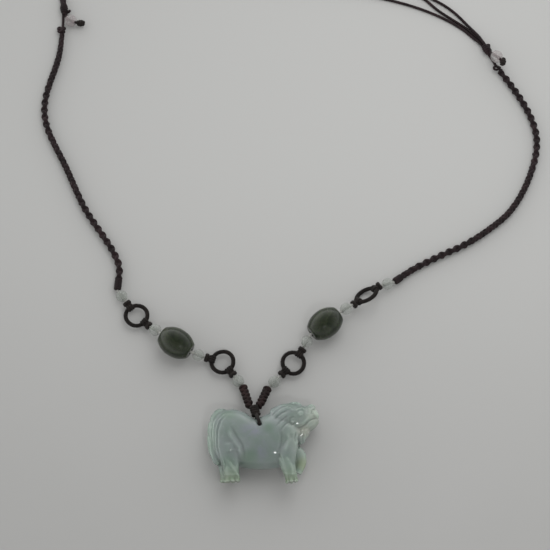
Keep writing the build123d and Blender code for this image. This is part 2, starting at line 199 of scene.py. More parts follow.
class Finish(Nodes):
    """A material with one surface shader."""

    def __init__(self, name):
        self.material = bpy.data.materials.new(name)
        self.material.use_nodes = True
        super().__init__(self.material.node_tree)
        self.surface = self.tree.nodes["Principled BSDF"]

    def set(self, **sockets):
        """The sockets of the surface shader. An underscore stands for a space."""
        for name, content in sockets.items():
            self.fill(self.surface.inputs[name.replace("_", " ")], content)
        print(self.material.name, "has", len(self.tree.nodes), "nodes")

    def place(self):
        """A point of the piece, in metres."""
        return self.node("ShaderNodeTexCoord", output="Object")

    def attribute(self, name):
        """A number that is stored at each point of the mesh."""
        return self.node("ShaderNodeAttribute", {"attribute_name": name}, output="Fac")

    def clouds(self, vector, size, detail=3.0, roughness=0.55, distortion=0.0):
        """Soft noise with blobs of about that size in metres."""
        sockets = {
            "Vector": vector, "Scale": 1 / size, "Detail": detail,
            "Roughness": roughness, "Distortion": distortion,
        }
        return self.node("ShaderNodeTexNoise", None, sockets)

    def patch(self, vector, centre, reach, soft=0.0):
        """1 inside an oval that is centre and reach in millimetres, 0 outside it."""
        scale = [1 / (width * MM) for width in reach]
        shift = [-spot * MM * size for spot, size in zip(centre, scale)]
        sockets = {"Vector": vector, "Scale": scale, "Location": shift}
        moved = self.node("ShaderNodeMapping", None, sockets)
        length = {"operation": "LENGTH"}
        distance = self.node("ShaderNodeVectorMath", length, {0: moved}, output="Value")
        return 1 - distance.step(soft, 1.0)

    def blend(self, first, second, amount):
        """A mix of two colours."""
        sockets = {0: amount, 6: first, 7: second}
        return self.node("ShaderNodeMix", {"data_type": "RGBA"}, sockets, output=2)

    def relief(self, height, depth):
        """A normal from a height that runs from 0 to 1, for a relief of that depth."""
        sockets = {"Height": height, "Distance": depth, "Strength": 1.0}
        return self.node("ShaderNodeBump", None, sockets)


# %% [markdown]
# ## Light
# The shadows are wide soft halos, so most of the light comes from the whole room. It
# is paler near the horizon than overhead, as in a room with windows, which keeps the
# polished tops dark and lights their edges, and it is dimmer on the viewer's side and
# on the right. A broad lamp behind on the right makes that side of the table paler, and
# a small one near the viewer makes the tiny glints. The broad lamp has no mirror image,
# because the jade shows none. The colours are set without a film look, so that a grey
# stays that grey.

# %% Light
room_strength = 1.48
far_gain = 0.55
right_loss = 0.3
# Columns: how far up from the horizon, colour
ROOM_STOPS = [(0.0, (1.0, 1.0, 0.995)), (0.35, (0.70, 0.70, 0.697)), (1.0, (0.16, 0.16, 0.159))]

bpy.context.scene.view_settings.view_transform = "Standard"

world = bpy.data.worlds.new("room_light")
world.use_nodes = True
bpy.context.scene.world = world
room = Nodes(world.node_tree)
direction = room.node("ShaderNodeTexCoord", output="Generated")
right_wall, far_wall, height = room.split(direction)
room_colour = room.node("ShaderNodeValToRGB", {"stops": ROOM_STOPS}, {"Fac": height})
strength = far_wall * far_gain - right_wall * right_loss + room_strength
background = world.node_tree.nodes["Background"]
room.fill(background.inputs["Color"], room_colour)
room.fill(background.inputs["Strength"], strength)


def lamp(name, place, target, width, watts, mirrored):
    """A square lamp that faces a point. Places and width are in millimetres."""
    data = bpy.data.lights.new(name, "AREA")
    data.size = width * MM
    data.energy = watts
    made = add_object(name, data)
    made.location = Vector(place) * MM
    ray = (Vector(target) - Vector(place)) * MM
    made.rotation_euler = ray.to_track_quat("-Z", "Y").to_euler()
    made.visible_glossy = mirrored
    print(name, "stands", round(ray.length / MM), "mm from its target")


lamp("broad_lamp", (85, 205, 300), (40, 110, 0), width=260, watts=0.36, mirrored=False)
lamp("glint_lamp", (100, -190, 375), (0, 20, 0), width=25, watts=0.13, mirrored=True)

# %% [markdown]
# ## The table
# The table is matt and pale grey. Its far side is painted a little paler, as painted
# light. It is only the stage and isn't part of the necklace, so one flat face past the
# edges of the view is enough.

# %% Table
near_grey = (0.428, 0.428, 0.419)
far_painted_light_grey = (0.520, 0.523, 0.512)
cloud_grey = (0.52, 0.51, 0.51)
shade_start, shade_end = -75 * MM, 120 * MM
cloud_size = 45 * MM
table_reach = 3


def mesh_object(name, shape, finish):
    """A bmesh with a finish as an object in the scene."""
    mesh = bpy.data.meshes.new(name)
    shape.to_mesh(mesh)
    shape.free()
    mesh.materials.append(finish.material)
    return add_object(name, mesh)


table_finish = Finish("table_paint")
table_place = table_finish.place()
# Painted light: the table is painted paler toward its far side, as the light is brighter there.
painted_far_light_share = table_finish.split(table_place)[1].step(shade_start, shade_end)
table_grain = table_finish.clouds(table_place, cloud_size)
table_colour = table_finish.blend(near_grey, far_painted_light_grey, painted_far_light_share)
table_colour = table_finish.blend(table_colour, cloud_grey, table_grain * 0.25)
table_finish.set(Base_Color=table_colour, Roughness=0.8, Specular_IOR_Level=0.15)

table_shape = bmesh.new()
bmesh.ops.create_grid(table_shape, x_segments=1, y_segments=1, size=table_reach)
table = mesh_object("table", table_shape, table_finish)
table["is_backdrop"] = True

# %% [markdown]
# ## Pieces and tubes
# Every cord here is a tube that follows a line. Blender's curves make such tubes, so
# a helper turns a list of points into a curve with a round bevel and the curve into a
# mesh. Its UV map runs in millimetres along the cord and once around it, for the fine
# weave of the cord's finish.

# %% Pieces and tubes
# A tube's rounded ends. Columns: number of the point, share of the tube's width there
ROUND_ENDS = [(0, 0.45), (1, 0.85), (-1, 0.45), (-2, 0.85)]


def piece(name, shape, finish, slot, *nodes):
    """A finished bmesh as an object that rides on the necklace and replaces its solids."""
    made = mesh_object(name, shape, finish)
    made.data.shade_smooth()
    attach(made, "root")
    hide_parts(*nodes)
    print(name, "has", len(made.data.polygons), "faces")
    return made


def line_length(points):
    """The length of a line of points."""
    return sum((after - before).length for before, after in zip(points, points[1:]))


def curve_mesh(kind, points, closed=False, ends=(), **settings):
    """The mesh of a curve that follows points. The settings are the curve's own."""
    curve = bpy.data.curves.new("line", "CURVE")
    curve.dimensions = "3D"
    for name, setting in settings.items():
        setattr(curve, name, setting)
    spline = curve.splines.new(kind)
    spline.points.add(len(points) - 1)
    for place, point in zip(spline.points, points):
        place.co = (*point, 1)
    for number, share in ends:
        spline.points[number].radius = share
    spline.use_cyclic_u = closed
    spline.order_u = 3
    spline.use_endpoint_u = True
    holder = bpy.data.objects.new("line", curve)
    mesh = bpy.data.meshes.new_from_object(holder)
    bpy.data.objects.remove(holder)
    bpy.data.curves.remove(curve)
    return mesh


def add_tube(shape, points, radius, sides=8, closed=False, round_ends=True):
    """Add a round tube along points to a bmesh."""
    mesh = curve_mesh(
        "POLY", points, closed, ROUND_ENDS if round_ends and not closed else (),
        bevel_depth=radius, bevel_resolution=sides // 2 - 2, use_fill_caps=not closed,
    )
    scale = line_length(points) / MM
    for corner in mesh.uv_layers[0].data:
        corner.uv = (corner.uv[0] * scale, corner.uv[1])
    shape.from_mesh(mesh)
    bpy.data.meshes.remove(mesh)


# %% [markdown]
# ## Finish of the cords
# The cord is waxed polyester, a very dark wine brown that is almost black. Under a
# glass it is itself a fine braid, so two families of slanted waves cross in its UV map
# and make the small diamonds. Modelled threads would need millions of faces, and a
# bump needs none. Paler patches at random stand for wear, and the tops of the diamonds
# are painted paler and their grooves darker, as painted highlight and painted shade.
# There is little gloss, because the fibres scatter it.

# %% Cord finishes
weave_waves = 3
weave_depth = 0.03 * MM


def cord_finish(name, dark, light, ply=0.55):
    """Waxed cord with a fine braided skin, ply millimetres from wave to wave."""
    finish = Finish(name)
    along, around, _ = finish.split(finish.node("ShaderNodeTexCoord", output="UV"))
    place = finish.place()
    rise = along * (2 * math.pi / ply)
    turn = around * (weave_waves * 2 * math.pi)
    weave = (rise + turn).sine().largest((rise - turn).sine()) * 0.5 + 0.5
    patches = finish.clouds(place, 3.5 * MM, detail=4)
    fibres = finish.clouds(place, 0.12 * MM, detail=2)
    # Painted highlight and painted shade: the weave's tops are painted paler and its grooves
    # darker. The cloud patches are wear.
    wear_and_painted_highlight = weave * 0.35 + patches.step(0.35, 0.75) * 0.65
    finish.set(
        Base_Color=finish.blend(dark, light, wear_and_painted_highlight),
        Roughness=0.5 + fibres * 0.2,
        Specular_IOR_Level=0.22,
        Sheen_Weight=0.04,
        Sheen_Roughness=0.5,
        Normal=finish.relief(weave * 0.8 + fibres * 0.2, weave_depth),
    )
    return finish


braid_finish = cord_finish("waxed_cord_braid", (0.004, 0.0026, 0.003), (0.026, 0.0125, 0.0145))
knot_finish = cord_finish("waxed_cord_knots", (0.004, 0.003, 0.0028), (0.018, 0.013, 0.011))
wine_finish = cord_finish("waxed_cord_wine", (0.005, 0.0020, 0.0020), (0.023, 0.0085, 0.008))
thread_finish = cord_finish("pale_thread", (0.26, 0.26, 0.24), (0.42, 0.42, 0.40), ply=0.4)

# %% [markdown]
# ## Routes of the cords
# Each cord has one list of points, chosen where it lies on the table. A
# smooth NURBS line runs through their middle, as a limp cord does. Everything that
# follows a cord, such as the strands of a braid, reads its points from that line.

# %% Routes of the cords
braid_height = 1.37
end_knot_height = 1.62
closure_height = 0.52

BRAID_ROUTES = {
    "left": [
        (-51.3, 61.2), (-50.9, 65.2), (-53.3, 71), (-56.9, 76.6), (-60.9, 82.2), (-64.8, 88),
        (-68, 94.4), (-70.9, 100.8), (-73.9, 107.2), (-77.4, 113.6), (-80.7, 120.3),
        (-82.8, 127.4), (-82.8, 134.8), (-81.3, 142), (-79.4, 149), (-78.3, 156),
        (-78.2, 162.7),
    ],
    "right": [
        (50, 62), (54.1, 64.9), (59.8, 67.8), (66, 70.9), (72.3, 73.7), (78.4, 77.3),
        (84.2, 81.5), (89.7, 86), (94, 91.6), (97.5, 97.8), (100.2, 104.2), (102.3, 110.7),
        (103.2, 117.6), (102.1, 124.5), (99.7, 131), (96.6, 137.2), (93.4, 142.6), (91.1, 146),
    ],
}
# A point without a height lies at closure_height
CLOSURE_ROUTES = {
    "inner": [
        (90, 147.8, 1.6), (88.1, 152.2, 1.33), (84.75, 158.3, 1.33), (82, 161.2, 0.6),
        (78.3, 165.2), (71, 170.3), (62, 174.7), (52.3, 178.1), (41, 180.9), (26, 183.1),
        (8.5, 185.3), (-9.5, 187.6), (-28, 189.6), (-46, 191), (-61.5, 190.6), (-71.6, 188.6),
        (-77, 184.6), (-78.4, 180.6, 0.55), (-78.25, 177.3, 1.33), (-77.65, 174.2, 1.4),
        (-77.1, 171.6, 1.5), (-77.3, 169.3, 2.1), (-72.7, 166.7, 2.64), (-70.85, 167.3, 1.75),
    ],
    "middle": [
        (87.4, 155.8, 1.33), (85.7, 158.8, 1.25), (83, 161.9, 0.6), (79.3, 166), (71.7, 171.5),
        (67.6, 175), (64.2, 178.9), (58.8, 182.2), (50.5, 184.7), (40.5, 186.6), (25.5, 188.7),
        (8, 190.4), (-10, 191.9), (-28.5, 193.2), (-46.5, 193.7), (-63, 192.5), (-73.4, 190.3),
        (-78.8, 186.8), (-79.6, 183, 0.55), (-79.3, 180, 1.6), (-78.8, 177.2, 2.25),
        (-78.35, 174.2, 2.28),
    ],
    "outer": [
        (-78.1, 164.6, 1.6), (-78.1, 170.4, 1.33), (-79.3, 177.3, 1.33), (-80.8, 181.4, 0.55),
        (-80.7, 187.2), (-75, 192.4), (-64.5, 195), (-47.5, 196.4), (-29, 196.2),
        (-10.5, 195.2), (8, 193.8), (25.5, 191.9), (40.5, 189.4), (51.5, 186.6), (60.2, 182.9),
        (67, 179.2), (72.5, 175.5), (76.7, 171.4), (80.3, 166.7), (83.7, 161.9, 1.65),
        (85.3, 158.6, 2.25), (87.75, 154, 2.3), (88.3, 152.6, 3.4), (91.1, 149.1, 5.05),
        (92.25, 148.1, 4.3),
    ],
}


def smooth_line(route):
    """The points of the NURBS line that a route controls, in metres."""
    mesh = curve_mesh("NURBS", [Vector(point) * MM for point in route], resolution_u=16)
    points = [vertex.co.copy() for vertex in mesh.vertices]
    bpy.data.meshes.remove(mesh)
    return points


braid_lines = {}
for side, route in BRAID_ROUTES.items():
    heights = [braid_height] * (len(route) - 1) + [end_knot_height]
    braid_lines[side] = smooth_line([(x, y, z) for (x, y), z in zip(route, heights)])
    print("braid", side, "runs", round(line_length(braid_lines[side]) / MM, 1), "mm")
closure_lines = {}
for name, route in CLOSURE_ROUTES.items():
    closure_lines[name] = smooth_line([(*point, closure_height)[:3] for point in route])
    print("closure", name, "runs", round(line_length(closure_lines[name]) / MM, 1), "mm")

# %% [markdown]
# ## Braids
# Each braid has four strands. Two wind one way and two the other, and where they meet
# one goes over and the next time under, which is a radius that swings in and out
# twice in each turn. Seen square on, such a braid has round lobes with a pinch between
# them, and seen from an eighth of a turn it has straight edges. The cord on the table
# lies both ways, so a small table turns it slowly along its length. One thick tube
# with a pattern would be simpler, but the lobes show in the braid's outline.

# %% Braids
braid_turn = 6.2 * MM
braid_step = 0.28 * MM
strand_radius = 0.62 * MM
strand_reach = 0.50 * MM
strand_swing = 0.25 * MM
TIGHT_END = {"left": 12 * MM, "right": 4 * MM}
# How far each braid has turned. Columns: share of its length, degrees
BRAID_LIE = {
    "left": [
        (0, -10), (0.07, 0), (0.19, 5), (0.28, 5), (0.36, 46), (0.56, 47), (0.63, 86),
        (0.73, 75), (0.80, 112), (0.90, 117), (1, 122),
    ],
    "right": [
        (0, 33), (0.05, 45), (0.10, 75), (0.22, 75), (0.30, 122), (0.44, 130), (0.58, 138),
        (0.66, 188), (0.76, 199), (0.85, 204), (1, 207),
    ],
}


def stations(points, step):
    """Evenly spaced stations on a line: the distance run, the point, side and up."""
    made = []
    run = 0.0
    ahead = 0.0
    for before, after in zip(points, points[1:]):
        length = (after - before).length
        direction = (after - before) / length
        side = direction.cross(UP).normalized()
        while ahead <= run + length:
            point = before + direction * (ahead - run)
            made.append((ahead, point, side, side.cross(direction)))
            ahead += step
        run += length
    return made


def table_value(rows, share):
    """A value between the rows of a short table of (share, value)."""
    for (low, first), (high, last) in zip(rows, rows[1:]):
        if share <= high:
            return first + (last - first) * (share - low) / (high - low)
    return rows[-1][1]


def spoke(side, up, angle):
    """A unit step out from an axis, turned by an angle from its side."""
    return side * math.cos(angle) + up * math.sin(angle)


def braid(line, lie, tight_end):
    """A round braid of four strands along a line, pulled tight near its end."""
    shape = bmesh.new()
    total = line_length(line)
    for strand in range(4):
        way = 1 if strand % 2 else -1
        start = math.pi * (strand // 2)
        path = []
        for run, point, side, up in stations(line, braid_step):
            turn = 2 * math.pi * run / braid_turn
            angle = way * turn + start + math.radians(table_value(lie, run / total))
            slack = min(1, 0.6 + 0.4 * (total - run) / tight_end)
            reach = (strand_reach + way * strand_swing * math.cos(2 * turn)) * slack
            path.append(point + spoke(side, up, angle) * reach)
        add_tube(shape, path, strand_radius, sides=10, round_ends=False)
    return shape


for side, line in braid_lines.items():
    piece(
        f"braid_{side}_strands", braid(line, BRAID_LIE[side], TIGHT_END[side]), braid_finish,
        "braid_cord", f"braid_{side}",
    )

# %% [markdown]
# ## Closure cords
# Three thin cords close the loop. Two are the tails that end in a bead and a stopper
# knot; the third joins the sliding knots. They are plain round cord, so each is one
# tube along its smooth line.

# %% Closure cords
closure_width = 1.0 * MM
closure_swell = 0.02 * MM
for name, line in closure_lines.items():
    shape = bmesh.new()
    add_tube(shape, line, closure_width / 2 + closure_swell, sides=12, round_ends=False)
    piece(
        f"closure_{name}_strand", shape, braid_finish, "braid_cord", f"closure_cord_{name}"
    )

# %% [markdown]
# ## Kinds of knots
# A real knot is one cord that goes over and under itself, but its inside is hidden. So
# every knot here is only what shows: cord that goes round an axis. A coil is a helix
# whose width may change from end to end: it makes the binding, the whippings, the
# sliding knots and the stoppers. A ring is one closed turn. A knotted row, as in the
# two arms of the V, is a stack of rings that lean to one side and then to the other,
# which gives the lumps of the real knot on both of its edges.

# %% Kinds of knots
turn_steps = 20
ring_steps = 24
row_shift = 0.16
row_lean = 0.8


def axis_frame(start, end):
    """The direction, the level side and the up of an axis."""
    direction = (end - start).normalized()
    side = direction.cross(UP).normalized()
    return direction, side, side.cross(direction)


def add_coil(shape, start, end, width, wire, turns, taper=((0, 1), (1, 1))):
    """A coil of cord round an axis, with a core. The taper gives shares of its width."""
    direction, side, up = axis_frame(start, end)
    length = (end - start).length - wire
    steps = round(turns * turn_steps)
    path = []
    for step in range(steps + 1):
        share = step / steps
        reach = (width * table_value(taper, share) - wire) / 2
        angle = 2 * math.pi * turns * share
        run = wire / 2 + length * share
        path.append(start + direction * run + spoke(side, up, angle) * reach)
    add_tube(shape, path, wire / 2, sides=10)
    core = (width * min(factor for _, factor in taper) - wire) / 2
    ends = [start + direction * wire * 0.3, (start + end) / 2, end - direction * wire * 0.3]
    add_tube(shape, ends, max(core, wire * 0.4))


def add_ring(shape, centre, direction, reach, wire, lean=0.0):
    """A closed turn of cord across an axis, which may lean to one side."""
    side = direction.cross(UP)
    if side.length < 0.1:
        side = direction.orthogonal()
    side.normalize()
    up = side.cross(direction)
    path = []
    for step in range(ring_steps):
        angle = 2 * math.pi * step / ring_steps
        forward = direction * lean * math.cos(angle)
        path.append(centre + forward + spoke(side, up, angle) * reach)
    add_tube(shape, path, wire / 2, sides=10, closed=True)


def add_row(shape, start, end, width, wire, lumps):
    """A knotted row: rings that lean to one side and to the other by turns."""
    direction, side, _ = axis_frame(start, end)
    length = (end - start).length
    reach = (width - wire) / 2
    pitch = length / (2 * lumps)
    for index in range(2 * lumps):
        way = 1 if index % 2 else -1
        centre = start + direction * pitch * (index + 0.5) + side * way * wire * row_shift
        reach_here = reach * random.uniform(0.92, 1)
        add_ring(shape, centre, direction, reach_here, wire, pitch * way * row_lean)
    add_tube(shape, [start + direction * length * share for share in (0.03, 0.5, 0.97)], reach)


# %% [markdown]
# ## The V above the pendant
# The hanging loop goes through the hole in the jade. Its solid already has the right
# route, so the cord is a slightly thicker copy of it. The binding ties its two strands
# to the arms with a few tight turns between two closed ones. The arms are knotted rows
# of a wine-coloured cord, and each ends in one thick flat turn.

# %% The V above the pendant
binding_centre = Vector((-2.105, 12.056, 5.75)) * MM
pendant_hole = Vector((-0.44, 6.556, 5.75)) * MM
binding_width = 3.2 * MM
binding_length = 3.8 * MM
binding_cord = 1.05 * MM
binding_ring_run = 1.4 * MM
binding_ring_reach = 1.1 * MM
arm_width = 2.8 * MM
arm_cord = 1.15 * MM
cap_length = 0.9 * MM
cap_cord = 1.2 * MM
cap_reach = 1.0 * MM
loop_swell = 0.12 * MM
merge_distance = 0.001 * MM
ARM_STARTS = {"left": (-3.805, 13.456, 5.35), "right": (-0.705, 13.756, 5.35)}
ARM_ENDS = {"left": (-6.4, 21.4, 2.3), "right": (2.2, 20.8, 2.3)}

back = (binding_centre - pendant_hole).normalized()
shape = bmesh.new()
add_coil(
    shape, binding_centre - back * binding_length / 2, binding_centre + back * binding_length / 2,
    binding_width, binding_cord, turns=3.6, taper=((0, 1), (1, 1.04)),
)
for run in (-binding_ring_run, binding_ring_run):
    add_ring(shape, binding_centre + back * run, back, binding_ring_reach, binding_cord)
piece("binding_turns", shape, knot_finish, "knot_cord", "loop_binding")

for side in ("left", "right"):
    shape = bmesh.new()
    start = Vector(ARM_STARTS[side]) * MM
    end = Vector(ARM_ENDS[side]) * MM
    direction = (end - start).normalized()
    add_row(shape, start, end - direction * cap_length, arm_width, arm_cord, lumps=5)
    add_ring(shape, end - direction * 0.5 * MM, direction, cap_reach, cap_cord)
    core = [end - direction * run * MM for run in (1.2, 0.7, 0.25)]
    add_tube(shape, core, arm_width * 0.34)
    piece(f"arm_{side}_row", shape, wine_finish, "knot_cord", f"arm_{side}")

loop = bmesh.new()
loop.from_mesh(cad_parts["hanging_loop"].data)
bmesh.ops.remove_doubles(loop, verts=loop.verts, dist=merge_distance)
loop.normal_update()
for vertex in loop.verts:
    vertex.co += vertex.normal * loop_swell
piece("hanging_loop_cord", loop, knot_finish, "knot_cord", "hanging_loop")

for number in range(1, 7):
    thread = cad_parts[f"bead_thread_{number}"].data
    thread.materials.clear()
    thread.materials.append(thread_finish.material)

# %% [markdown]
# ## Cord rings
# A cord ring is a small hoop with cord wound round it, turn beside turn. A torus with
# a bump would have a smooth outline, so the winding is modelled: one closed line that
# runs round the hoop while it circles the hoop's core. No hand-made hoop is quite
# round, so the core wobbles a little.

# %% Cord rings
ring_width = 9.2 * MM
ring_cord = 1.6 * MM
ring_reach = (ring_width - ring_cord) / 2
winding_wire = 0.46 * MM
winding_turns = 54
turn_points = 10
leaning_ring = 4
ring_tilt = math.radians(48)


def middle(node):
    """The middle of a node's box."""
    low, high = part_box(node)
    return (low + high) / 2


def ring_normal(number):
    """The direction that a ring faces. Only the last ring leans."""
    if number != leaning_ring:
        return UP
    chord = middle("hitch_8") - middle("hitch_7")
    chord.z = 0
    return Matrix.Rotation(-ring_tilt, 3, chord.normalized()) @ UP


def ring_lines(number):
    """The core and the winding of a ring that isn't quite round."""
    centre = middle(f"cord_ring_{number}")
    normal = ring_normal(number)
    flat = normal.orthogonal().normalized()
    other = normal.cross(flat)
    core, winding = [], []
    for step in range(winding_turns * turn_points):
        angle = 2 * math.pi * step / (winding_turns * turn_points)
        wobble = 0.018 * math.sin(2 * angle + 1.9 * number) + 0.012 * math.sin(3 * angle + number)
        outward = spoke(flat, other, angle)
        seat = centre + outward * ring_reach * (1 + wobble)
        turn = angle * winding_turns
        reach = (ring_cord - winding_wire) / 2
        winding.append(seat + spoke(outward, normal, turn) * reach)
        if step % turn_points == 0:
            core.append(seat)
    return core, winding


for number in range(1, 5):
    core, winding = ring_lines(number)
    shape = bmesh.new()
    add_tube(shape, core, ring_cord / 2 - winding_wire * 0.6, sides=10, closed=True)
    add_tube(shape, winding, winding_wire / 2, sides=6, closed=True)
    piece(f"ring_{number}_winding", shape, knot_finish, "knot_cord", f"cord_ring_{number}")

# %% [markdown]
# ## Hitches
# Each ring hangs on two hitches: three turns over the hoop, then a narrow neck and a
# wider knot outside it, which look like a bow tie. Each turn is a closed ring, because
# the cord's way from one turn to the next doesn't show.

# %% Hitches
wrap_reach = 0.93 * MM
wrap_cord = 0.82 * MM
wrap_step = 0.8 * MM
hitch_cord = 0.95 * MM
hitch_core = 0.7 * MM
neck_place = 1.15 * MM
neck_reach = 0.62 * MM
knot_place = 1.95 * MM
knot_width = 3.1 * MM
knot_lean = 0.22 * MM

for hitch in range(1, 9):
    number = (hitch + 1) // 2  # two hitches to a ring
    centre = middle(f"cord_ring_{number}")
    normal = ring_normal(number)
    outward = middle(f"hitch_{hitch}") - centre
    outward = (outward - normal * outward.dot(normal)).normalized()
    seat = centre + outward * ring_reach
    tangent = normal.cross(outward)
    shape = bmesh.new()
    for turn in (-wrap_step, 0, wrap_step):
        add_ring(shape, seat + tangent * turn, tangent, wrap_reach, wrap_cord)
    add_ring(shape, seat + outward * neck_place, outward, neck_reach, hitch_cord)
    knot = seat + outward * knot_place
    for lean in (-knot_lean, knot_lean):
        add_ring(shape, knot, outward, (knot_width - hitch_cord) / 2, hitch_cord, lean)
    add_tube(shape, [seat + outward * run * MM for run in (0.7, 1.6, 2.4)], hitch_core)
    piece(f"hitch_{hitch}_turns", shape, knot_finish, "knot_cord", f"hitch_{hitch}")

# %% [markdown]
# ## Whippings and end knots of the braids
# A whipping of fine cord binds the lower end of each braid, and a plain coil makes it.
# At the upper end the cord makes a small overhand knot: one turn round the braid and
# two or three little loops beside it, from which the thin closure cords come out. Each
# loop has its own place and size, because no two knots tied by hand are alike.

# %% Whippings and end knots
whipping_width = 2.7 * MM
whipping_cord = 0.62 * MM
whipping_core = 0.95 * MM
WHIPPING_STARTS = {"left": (-51.5, 56.7, 2.12), "right": (47.3, 59.8, 2.12)}
# The little loops, in mm. Columns: centre, reach, cord
END_LOOPS = {
    "left": [
        ((-79.3, 164.9, 1.55), 0.6, 1), ((-79.1, 163.9, 1.6), 0.6, 1),
        ((-77.7, 165, 1.6), 0.45, 0.95),
    ],
    "right": [((89.8, 147.4, 1.65), 0.9, 0.88), ((90.9, 147.5, 1.5), 0.4, 0.8)],
}
# How far past the end of the braid the points of the knot's core lie, in mm
END_CORES = {"left": (-0.6, 0.7, 1.6, 2.7), "right": (-0.9, -0.2, 0.2, 0.5)}
end_core_radius = 0.75 * MM
end_turn_cord = 1.0 * MM
for side, line in braid_lines.items():
    shape = bmesh.new()
    whipping_start = Vector(WHIPPING_STARTS[side]) * MM
    whipping_axis = (line[0] - whipping_start).normalized()
    add_coil(shape, whipping_start, line[0], whipping_width, whipping_cord, turns=7.5)
    core = [whipping_start + whipping_axis * run * MM for run in (0.9, 0.4, -0.1)]
    add_tube(shape, core, whipping_core)
    piece(
        f"whipping_{side}_turns", shape, braid_finish, "braid_cord", f"whipping_{side}"
    )

    knot_direction = (line[-1] - line[-2]).normalized()
    shape = bmesh.new()
    core = [line[-1] + knot_direction * run * MM for run in END_CORES[side]]
    add_tube(shape, core, end_core_radius)
    add_ring(shape, core[1], knot_direction, end_core_radius, end_turn_cord, lean=0.2 * MM)
    facing = (UP * 0.97 + knot_direction * 0.24).normalized()
    for centre, reach, wire in END_LOOPS[side]:
        add_ring(shape, Vector(centre) * MM, facing, reach * MM, wire * MM)
    piece(
        f"end_knot_{side}_turns", shape, braid_finish, "braid_cord", f"end_knot_{side}"
    )

# %% [markdown]
# ## Sliding knots and stoppers
# A sliding knot is cord wound round the thin cords, fat in the middle and thin where
# it starts, with a short melted end that sticks out. The tails end in stopper knots:
# small barrels of a few turns. The right one has turned across its cord. All four are
# coils that differ only in a few numbers, so one loop makes them from a table.

# %% Sliding knots and stoppers
winding_cord = 1.0 * MM
stub_reach = 2.85 * MM
inner_line, outer_line = closure_lines["inner"], closure_lines["outer"]
turned_seat = outer_line[-1] + Vector((-0.3, 0.4, -0.1)) * MM
# Columns: seat, direction, start and end in mm from the seat, width in mm, turns, taper
WOUND_KNOTS = {
    "slide_knot_left": (
        Vector((-78.1, 173.7, 1.65)) * MM, Vector((-0.148, 0.989, 0)), -2.8, 2.8, 3.2, 5.6,
        ((0, 0.5), (0.3, 0.92), (0.65, 1), (1, 0.72)),
    ),
    "slide_knot_right": (
        Vector((86.95, 155.1, 1.65)) * MM, Vector((-0.48, 0.877, 0)), -2.8, 2.8, 3.2, 5.6,
        ((0, 0.45), (0.35, 0.9), (0.6, 1), (1, 0.8)),
    ),
    "stopper_left": (
        inner_line[-1], inner_line[-1] - inner_line[-2], -2.4, 1.6, 2.6, 3.7,
        ((0, 0.75), (0.3, 1), (0.7, 1), (1, 0.7)),
    ),
    "stopper_right": (
        turned_seat, Vector((-0.25, -0.96, -0.1)), -1.95, 1.95, 2.5, 3.5,
        ((0, 0.6), (0.35, 1), (0.65, 1), (1, 0.6)),
    ),
}
# The melted ends. Columns: place in mm from the seat, turn in degrees, cord in mm
STUBS = {"slide_knot_left": (-2.3, -60, 1.15), "slide_knot_right": (0, -40, 1.7)}
for node, (seat, way, start, end, width, turns, taper) in WOUND_KNOTS.items():
    way = way.normalized()
    shape = bmesh.new()
    ends = [seat + way * run * MM for run in (start, end)]
    add_coil(shape, *ends, width * MM, winding_cord, turns, taper)
    if node in STUBS:
        place, turn, wire = STUBS[node]
        stub_start = seat + way * place * MM
        stub_way = Matrix.Rotation(math.radians(turn), 3, UP) @ way
        stub = [stub_start + stub_way * stub_reach * share for share in (0.15, 0.4, 0.7, 0.93, 1)]
        add_tube(shape, stub, wire / 2 * MM, sides=12)
    finish = braid_finish if node in STUBS else knot_finish
    piece(f"{node}_turns", shape, finish, "braid_cord", node)

# %% [markdown]
# ## Finishes of the jade
# Jade is a polished stone that light enters. Glass with a cloudy inside would take long
# to render, so the pendant's finish scatters the light just under its skin. Light and
# shade are also painted into its colour, from two numbers that the mesh stores at each
# point: how thick the stone is there and how much of a ridge it is. Thin places are
# painted pale and greenish, as painted light that shines through them, ridges are painted
# paler as painted highlight and grooves darker as painted shade, and the thick flank is
# deeper. The small beads are icy jade, so clear that the table and the thread show
# through them, and the barrels are a dark olive green.

# %% Jade finishes
# Patches of lavender and of green in the flank. Columns: centre, reach, in mm
LAVENDER_PATCHES = [((-2.4, 4.4, 9), (6.5, 3.6, 9)), ((0.2, -2.2, 9), (3.2, 5.0, 9))]
GREEN_PATCHES = [
    ((-10.8, 9.6, 9), (4.0, 3.0, 9)), ((-10.8, -6.6, 9), (4.2, 3.4, 9)),
    ((-3.8, -4.4, 9), (4.0, 3.2, 9)), ((2.6, 5.2, 9), (3.2, 3.0, 9)),
]
# Tints of the tail, face, jaw, far front leg and forequarters.
# Columns: centre, reach, softness, colour, strength
TINTS = [
    ((-17.5, 2, 8), (3.6, 12, 9), 0.3, (0.295, 0.368, 0.320), 0.8),
    ((18.5, 9, 8), (5.5, 6.5, 9), 0.2, (0.368, 0.398, 0.350), 0.85),
    ((14.6, 4.6, 8), (3.8, 3.0, 9), 0.2, (0.385, 0.370, 0.305), 0.7),
    ((13.8, -5.6, 3), (3.4, 3.6, 5), 0.3, (0.290, 0.335, 0.225), 0.85),
    ((13.5, 3, 9), (7.5, 12, 9), 0.3, (0.385, 0.430, 0.388), 0.35),
]


